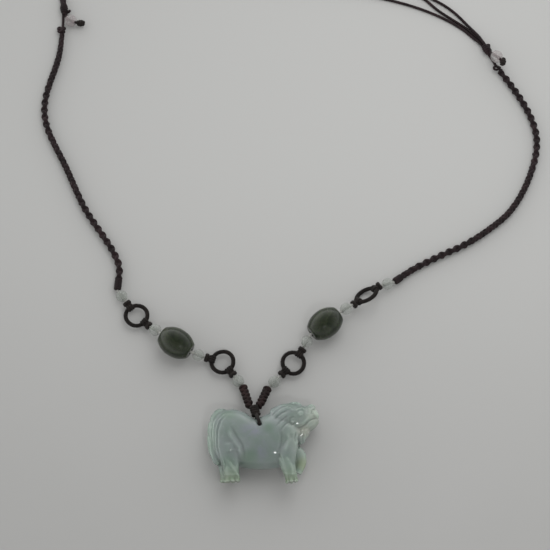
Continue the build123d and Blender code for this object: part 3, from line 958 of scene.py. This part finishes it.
def pendant_jade():
    """Polished translucent pale jade, with light and shade painted into its colour from its
    thickness and its ridges.
    """
    finish = Finish("pale_jade_polish")
    place = finish.place()
    thin = finish.attribute("thin")
    ridge = finish.attribute("ridge")
    clouds = finish.clouds(place, 8 * MM, detail=4, distortion=0.5)
    wisps = finish.clouds(place, 2.2 * MM, detail=4, roughness=0.6)
    thick = finish.blend((0.202, 0.252, 0.228), (0.238, 0.275, 0.270), clouds.step(0.35, 0.65))
    for centre, reach in LAVENDER_PATCHES:
        lavender = finish.patch(place, centre, reach, 0.1) * clouds.step(0.2, 0.55)
        thick = finish.blend(thick, (0.245, 0.252, 0.305), lavender * 0.95)
    for centre, reach in GREEN_PATCHES:
        green = finish.patch(place, centre, reach, 0.1)
        thick = finish.blend(thick, (0.168, 0.232, 0.188), green * 0.9)
    # Painted light: thin places are painted pale, as the light that shines through thin stone.
    body = finish.blend(thick, (0.300, 0.370, 0.318), thin)
    for centre, reach, soft, tint, strength in TINTS:
        body = finish.blend(body, tint, finish.patch(place, centre, reach, soft) * strength)
    feet = 1 - finish.split(place)[1].step(-13 * MM, -6.5 * MM)
    body = finish.blend(body, (0.166, 0.206, 0.128), feet * 0.75)
    # Painted highlight: ridges are painted paler. Painted shade: grooves are painted darker.
    relief = ridge.step(0.5, 1.0) * 0.34
    body = finish.blend(body, (0.360, 0.425, 0.368), relief)
    cut = 1 - ridge.step(0.0, 0.5)
    body = finish.blend(body, (0.165, 0.205, 0.185), cut * 0.25)
    body = finish.blend(body, (0.37, 0.42, 0.39), wisps.step(0.58, 0.8) * 0.25)
    finish.set(
        Base_Color=body,
        Roughness=wisps.step(0.2, 0.9) * 0.06 + 0.10,
        IOR=1.5,
        Subsurface_Weight=1.0,
        Subsurface_Radius=(0.85, 1.0, 0.92),
        Subsurface_Scale=4.4 * MM,
    )
    return finish


def icy_jade(name, tint):
    """Nearly clear stone with a faint haze."""
    finish = Finish(name)
    haze = finish.clouds(finish.place(), 2.4 * MM)
    finish.set(
        Base_Color=finish.blend(tint, (0.47, 0.49, 0.47), haze.step(0.4, 0.8)),
        Roughness=0.2,
        IOR=1.45,
        Specular_IOR_Level=0.3,
        Alpha=0.36,
    )
    return finish


def olive_jade():
    """Dark olive green with paler streaks and small black specks."""
    finish = Finish("olive_jade_polish")
    place = finish.place()
    clouds = finish.clouds(place, 7 * MM, detail=4, distortion=1.2)
    body = finish.blend((0.007, 0.013, 0.004), (0.029, 0.037, 0.018), clouds.step(0.35, 0.7))
    specks = finish.clouds(place, 0.5 * MM).step(0.62, 0.72)
    finish.set(
        Base_Color=finish.blend(body, (0.007, 0.008, 0.006), specks * 0.7),
        Roughness=clouds * 0.1 + 0.22,
        Specular_IOR_Level=0.2,
        Coat_Weight=0.4,
        Coat_Roughness=0.03,
        Subsurface_Weight=0.4,
        Subsurface_Radius=(0.6, 1.0, 0.5),
        Subsurface_Scale=0.8 * MM,
    )
    return finish


pendant_finish = pendant_jade()
icy_finish = icy_jade("icy_jade_polish", (0.35, 0.38, 0.345))
rosy_finish = icy_jade("rosy_icy_jade_polish", (0.46, 0.40, 0.405))
olive_finish = olive_jade()

# %% [markdown]
# ## Beads
# A drilled bead is a turned form, so each one is spun from half of its section: the
# outer arc, a small lip where the hole breaks through, and the wall of the hole. A
# hole cut out of a ball afterwards would have ragged faces round its edge.

# %% Beads
pale_width = 4.2 * MM
tail_width = 4.7 * MM
barrel_width = 10.2 * MM
barrel_length = 12.0 * MM
barrel_end = 6.3 * MM
lip_angle = 0.10  # in radians
lip_depth = 0.12 * MM


def bead(profile, centre, axis, steps=40):
    """Spin a closed section of (radius, height) points round an axis."""
    shape = bmesh.new()
    corners = [shape.verts.new((radius, 0, height)) for radius, height in profile]
    edges = [shape.edges.new(pair) for pair in zip(corners, corners[1:] + corners[:1])]
    bmesh.ops.spin(
        shape, geom=corners + edges, cent=(0, 0, 0), axis=(0, 0, 1),
        angle=2 * math.pi, steps=steps, use_merge=True,
    )
    bmesh.ops.recalc_face_normals(shape, faces=shape.faces)
    turn = UP.rotation_difference(axis.normalized()).to_matrix().to_4x4()
    bmesh.ops.transform(shape, matrix=Matrix.Translation(centre) @ turn, verts=shape.verts)
    return shape


def round_profile(width, bore, points=18):
    """Section of a round bead: the outside from end to end, then the hole."""
    reach = width / 2
    lip = math.asin(bore / width) + lip_angle
    section = [
        (reach * math.sin(angle), -reach * math.cos(angle))
        for angle in (lip + (math.pi - 2 * lip) * step / points for step in range(points + 1))
    ]
    deep = section[-1][1] - lip_depth
    return section + [(bore / 2, deep), (bore / 2, 0), (bore / 2, -deep)]


def barrel_profile(width, length, end_width, bore, points=20):
    """Section of a barrel bead with flat ends and a rounded edge at each end."""
    section = []
    for step in range(points + 1):
        share = 2 * step / points - 1
        radius = end_width / 2 + (width - end_width) / 2 * (1 - abs(share) ** 2.3)
        section.append((radius, share * (length / 2 - 0.5 * MM)))
    top = length / 2
    lips = [
        (end_width / 2 - 0.22 * MM, top - 0.24 * MM), (end_width / 2 - 0.52 * MM, top - 0.07 * MM),
        (end_width / 2 - 0.90 * MM, top), (bore / 2 + 0.30 * MM, top), (bore / 2, top - 0.3 * MM),
    ]
    under = [(radius, -height) for radius, height in reversed(lips)]
    return section + lips + [(bore / 2, 0)] + under


# The way each barrel lies, in degrees from the right
BARREL_ANGLES = {"left": 148, "right": 38}
# What stands before and after each pale bead on its thread
PALE_NEIGHBOURS = [
    ("arm_left", "hitch_1"), ("hitch_2", "barrel_bead_left"), ("barrel_bead_left", "hitch_3"),
    ("hitch_4", "whipping_left"), ("arm_right", "hitch_5"), ("hitch_6", "barrel_bead_right"),
    ("barrel_bead_right", "hitch_7"), ("hitch_8", "whipping_right"),
]
for number, (before, after) in enumerate(PALE_NEIGHBOURS, 1):
    node = f"pale_bead_{number}"
    axis = middle(after) - middle(before)
    shape = bead(round_profile(pale_width, 1.1 * MM), middle(node), axis)
    piece(f"{node}_stone", shape, icy_finish, "icy_jade", node)

for side, angle in BARREL_ANGLES.items():
    turn = math.radians(angle)
    shape = bead(
        barrel_profile(barrel_width, barrel_length, barrel_end, 1.3 * MM),
        middle(f"barrel_bead_{side}"), Vector((math.cos(turn), math.sin(turn), 0)), steps=56,
    )
    piece(f"barrel_{side}_stone", shape, olive_finish, "green_jade", f"barrel_bead_{side}")

for side, name in (("left", "inner"), ("right", "outer")):
    node = f"tail_bead_{side}"
    start, end = (Vector(point) for point in CLOSURE_ROUTES[name][-3:-1])
    shape = bead(round_profile(tail_width, 1.4 * MM), middle(node), end - start)
    piece(f"{node}_stone", shape, rosy_finish, "icy_jade", node)

print("free cords:", len(braid_lines) + len(closure_lines))

# %% [markdown]
# ## The skin of the carved animal
# The solid already has the animal's main forms. A carver would now round them into
# each other, and this cell does the same: the solid's skin is remeshed into small even
# faces and smoothed.

# %% The skin of the carved animal
carving_voxel = 0.18 * MM

solid = bmesh.new()
solid.from_mesh(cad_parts["qilin"].data)
bmesh.ops.remove_doubles(solid, verts=solid.verts, dist=merge_distance)
carving = piece("qilin_carving", solid, pendant_finish, "pale_jade", "qilin")
remesh = carving.modifiers.new("skin", "REMESH")
remesh.mode = "VOXEL"
remesh.voxel_size = carving_voxel
soften = carving.modifiers.new("soften", "SMOOTH")
soften.factor = 0.5
soften.iterations = 12
skin = bpy.data.meshes.new_from_object(
    carving.evaluated_get(bpy.context.evaluated_depsgraph_get())
)
carving.modifiers.clear()
carving.data = skin
print("carving has", len(skin.polygons), "faces")

# %% [markdown]
# ## The carver's strokes
# Each stroke is a line on the flank, in millimetres from the animal's middle, with a
# half width and a height: a ridge stands up, a cut goes in. They were drawn, and a line
# in a table is easier to move than the mark of a sculpting brush. A stroke moves every
# point of the skin near its line along that point's normal, on both flanks, and fades
# out at its two ends as a gouge does.

# %% The carver's strokes
# Columns: half width, height (below 0 for a cut), points
STROKES = [
    # Tail: its edge against the haunch, long locks, and lock tips on its outline
    (0.6, -0.6, [(-12, 9.2), (-13.7, 7.6), (-14.7, 4), (-14.7, -0.4), (-14, -4.7), (-13.3, -7.2)]),
    (0.45, -0.42, [(-14.2, 10.9), (-15.6, 9.4), (-16.5, 6.6), (-16.7, 3), (-16.4, -1), (-15, -7)]),
    (0.45, -0.4, [
        (-13, 10.3), (-14.6, 8.3), (-15.5, 5.2), (-15.7, 1.6), (-15.4, -2.2), (-14.6, -5.6),
    ]),
    (0.5, -0.45, [(-18.4, 4.4), (-17.3, 2.6), (-16.9, 0.6)]),
    (0.5, -0.45, [(-18.2, -2), (-17, -3.8), (-16.3, -5.6)]),
    (0.5, -0.4, [(-17.9, 9.2), (-17, 7.6), (-16.7, 5.8)]),
    # Haunch and hind leg: contour, ridges, hair behind the hock, ankle and toes
    (1.00, 0.45, [(-10.6, 4.3), (-9.9, 2), (-8.5, -0.1), (-7.2, -1.7), (-6.7, -4)]),
    (0.8, -0.42, [(-9.9, 6.2), (-8.7, 3.4), (-7.2, 1), (-5.9, -0.9), (-5.4, -3.4), (-5.8, -5.6)]),
    (0.8, 0.4, [(-10.8, -5.3), (-9.8, -7.6), (-8.4, -9.3), (-7.4, -10.6), (-6.9, -12.2)]),
    (0.4, -0.32, [(-13.4, -4.6), (-12.6, -6.6), (-12.6, -8.6)]),
    (0.4, -0.32, [(-12.2, -4.8), (-11.6, -6.8), (-11.8, -8.8)]),
    (0.55, 0.25, [(-13.4, -9.8), (-10.5, -10.4), (-6.9, -10.3)]),
    (0.4, -0.5, [(-8.4, -14.2), (-8.3, -12.4), (-8.8, -11.2)]),
    (0.4, -0.5, [(-10.2, -14.2), (-10, -12.5), (-10.3, -11.4)]),
    (2.6, 0.45, [(-10.6, 0.2), (-9.8, -3)]),
    # Shoulder and front leg
    (2.00, 0.4, [(9.6, 6.2), (10.2, 2.6)]),
    (1.1, 0.45, [(8.7, 3.4), (9.3, 0.9), (8.6, -1.6), (7.9, -3)]),
    (0.8, -0.4, [(6.2, 4.6), (6.9, 2), (6.7, -0.6), (5.7, -2.8)]),
    (0.8, 0.4, [(8.7, -4.7), (9.6, -6.6), (10.4, -8.6), (10.6, -10.6)]),
    (0.4, -0.32, [(5.9, -3.4), (6.6, -5), (7.3, -6.4)]),
    (0.55, 0.25, [(7.4, -9.6), (9.8, -10.2), (12.4, -9.8)]),
    (0.4, -0.5, [(9.4, -14.2), (9.5, -12.4), (9.1, -11.2)]),
    (0.4, -0.5, [(11, -14.2), (11, -12.4), (10.8, -11.3)]),
    # Mane
    (0.5, -0.45, [(8.6, 13), (6.6, 12.2), (5, 11), (3.9, 9.4)]),
    (0.5, -0.45, [(8.8, 10.9), (7.2, 10.3), (5.6, 9.2), (4.6, 7.6)]),
    (0.5, -0.45, [(9, 9.2), (7.7, 8.4), (6.3, 7.2), (5.4, 5.6)]),
    (0.5, -0.4, [(9.2, 7.2), (8.2, 6.3), (7.2, 5.2), (6.6, 3.9)]),
    # Head: mouth, lips, brow, ear, cheek curl, snout folds and horn rings
    (0.45, -0.7, [(19.2, 9), (17.4, 8.4), (16.1, 7.7), (14.8, 6.3), (13.4, 5.5), (12, 5.3)]),
    (0.55, 0.3, [(18.6, 10.2), (16.9, 9.6), (15.4, 8.4), (14.2, 7.2), (12.9, 6.6)]),
    (0.55, 0.28, [(18.2, 7.2), (16.6, 6.3), (15.2, 4.9), (13.6, 4.3), (12, 4.3)]),
    (0.6, 0.4, [(11.6, 10.6), (12.4, 11.7), (13.8, 12), (14.9, 11.3)]),
    (0.75, 0.45, [(10.8, 11), (9.6, 11.9), (8.2, 12.2)]),
    (0.32, -0.35, [(10.4, 11.2), (9.4, 11.9), (8.5, 12.1)]),
    (0.35, -0.35, [
        (11.7, 8.2), (10.8, 8.9), (9.7, 8.3), (9.5, 7.1), (10.3, 6.3), (11.2, 6.8), (10.9, 7.6),
    ]),
    (0.4, -0.28, [(15.2, 12.6), (15.8, 11.5), (15.7, 10.2)]),
    (0.4, -0.28, [(16.4, 12.4), (17, 11.3), (16.9, 10.2)]),
    # Beard
    (0.42, -0.45, [(11.7, 3.8), (11.3, 1.8), (11.6, 0.2)]),
    (0.42, -0.45, [(13, 3.6), (12.6, 2), (12.9, 0.6), (12.5, -0.8)]),
    (0.42, -0.45, [(14.4, 3.4), (13.9, 1.9), (14, 0.6)]),
    (0.42, -0.4, [(15.8, 3.9), (15.4, 2.6), (15.2, 1.4)]),
]
# Round knobs and pits. Columns: radius, height, x, y, z. None for z means both flanks
KNOBS = [
    (0.9, 0.4, 13.2, 10.1, None), (0.3, -0.12, 13.4, 10.1, None),
    (0.9, 0.25, 17.2, 12.2, None), (0.4, -0.35, 17.6, 11.9, None),
    (1.6, 0.7, 18.9, 10.6, None),
    (0.85, 0.45, -9.9, 11.9, 5.75), (0.85, 0.45, -8.3, 11.2, 5.75),
    (0.85, 0.45, -6.7, 10.4, 5.75), (0.75, 0.4, -5.2, 9.8, 5.75),
    (0.75, 0.4, 1.9, 9.9, 5.75), (0.8, 0.4, 3.4, 10.6, 5.75),
]
print("strokes", len(STROKES), "knobs and pits", len(KNOBS))

# %% [markdown]
# ## Carving
# The points of the mesh go into one array, so that a stroke can find its distance to
# all of them at once. After the strokes a light smoothing polishes their edges.

# %% Carving
softness = 0.75
end_fade = 5
end_strength = 0.15
middle_height = 5.75 * MM
flank_blend = 3 * MM
polish_steps = 4
far_flank_loss = 0.5

count = len(skin.vertices)
points = np.empty(count * 3)
normals = np.empty(count * 3)
skin.vertices.foreach_get("co", points)
skin.vertices.foreach_get("normal", normals)
points = points.reshape(-1, 3)
normals = normals.reshape(-1, 3)


def near_stroke(line):
    """The distance of each point to a stroke, seen square on, and the share run."""
    line = np.array(line) * MM
    lengths = np.hypot(*np.diff(line, axis=0).T)
    runs = np.concatenate([[0], np.cumsum(lengths)])
    best = np.full(count, 1.0)
    share = np.zeros(count)
    for start, end, length, before in zip(line, line[1:], lengths, runs):
        along = np.clip((points[:, :2] - start) @ (end - start) / length**2, 0, 1)
        away = np.hypot(*(points[:, :2] - start - along[:, None] * (end - start)).T)
        nearer = away < best
        best = np.where(nearer, away, best)
        share = np.where(nearer, (before + along * length) / runs[-1], share)
    return best, share


def smooth(shape, times):
    """Draw each point of a bmesh halfway to its neighbours, several times."""
    for _ in range(times):
        bmesh.ops.smooth_vert(
            shape, verts=shape.verts, factor=0.5, use_axis_x=True, use_axis_y=True, use_axis_z=True
        )


lift = np.zeros(count)
for half_width, stroke_height, line in STROKES:
    distance, share = near_stroke(line)
    closeness = np.clip(1 - distance / (half_width * MM), 0, 1)
    if stroke_height > 0:
        closeness = closeness**2 * (3 - 2 * closeness)
    fade = np.clip(np.minimum(share, 1 - share) * end_fade + end_strength, 0, 1)
    lift += stroke_height * softness * MM * closeness * fade
for radius, knob_height, x, y, z in KNOBS:
    away = points - np.array([x, y, z or 0]) * MM
    if z is None:
        away[:, 2] = 0
    distance = np.linalg.norm(away, axis=1) / (radius * MM)
    lift += knob_height * MM * np.sqrt(np.clip(1 - distance**2, 0, 1))
far_flank = np.clip((middle_height - points[:, 2]) / flank_blend, 0, 1)
points += normals * (lift * (1 - far_flank_loss * far_flank))[:, None]
points[:, 2] = np.maximum(points[:, 2], 0.01 * MM)
skin.vertices.foreach_set("co", points.ravel())
polish = bmesh.new()
polish.from_mesh(skin)
smooth(polish, polish_steps)
polish.to_mesh(skin)
polish.free()
skin.shade_smooth()
print("deepest cut", round(lift.min() / MM, 2), "mm")

# %% [markdown]
# ## Thickness and ridges
# The jade's painted light and shade need two numbers at each point. The thickness is
# measured as with callipers: a ray goes straight in and the distance to the far side is
# taken. A ridge is a point that stands out from a smoothed copy of the skin.

# %% Thickness and ridges
thick_stone = 9.0 * MM
thin_stone = 2.5 * MM
ridge_range = 0.10 * MM
ridge_steps = 14

skin.update()
measure = bmesh.new()
measure.from_mesh(skin)
measure.normal_update()
tree = BVHTree.FromBMesh(measure)
thickness = []
sharp = [vertex.co.copy() for vertex in measure.verts]
outward = [vertex.normal.copy() for vertex in measure.verts]
for place, normal in zip(sharp, outward):
    hit, _, _, distance = tree.ray_cast(place - normal * 0.05 * MM, -normal)
    thickness.append(distance if hit else 0.0)
smooth(measure, ridge_steps)
stands_out = [
    (place - vertex.co).dot(normal) for place, vertex, normal in zip(sharp, measure.verts, outward)
]
measure.free()

thin = np.clip((thick_stone - np.array(thickness)) / (thick_stone - thin_stone), 0, 1)
ridge = np.clip(0.5 + np.array(stands_out) / ridge_range / 2, 0, 1)
for name, numbers in (("thin", thin), ("ridge", ridge)):
    stored = skin.attributes.new(name, "FLOAT", "POINT")
    stored.data.foreach_set("value", numbers)
    print(name, "average", round(float(numbers.mean()), 2))

# %% [markdown]
# ## Measure and finish
# The box of the dressed necklace is measured and its size printed in millimetres.

# %% Measure and finish
bpy.context.view_layer.update()
dressed_low, dressed_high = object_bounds()
lengths = [round((high - low) / MM, 1) for low, high in zip(dressed_low, dressed_high)]
print("dressed size in mm:", lengths)
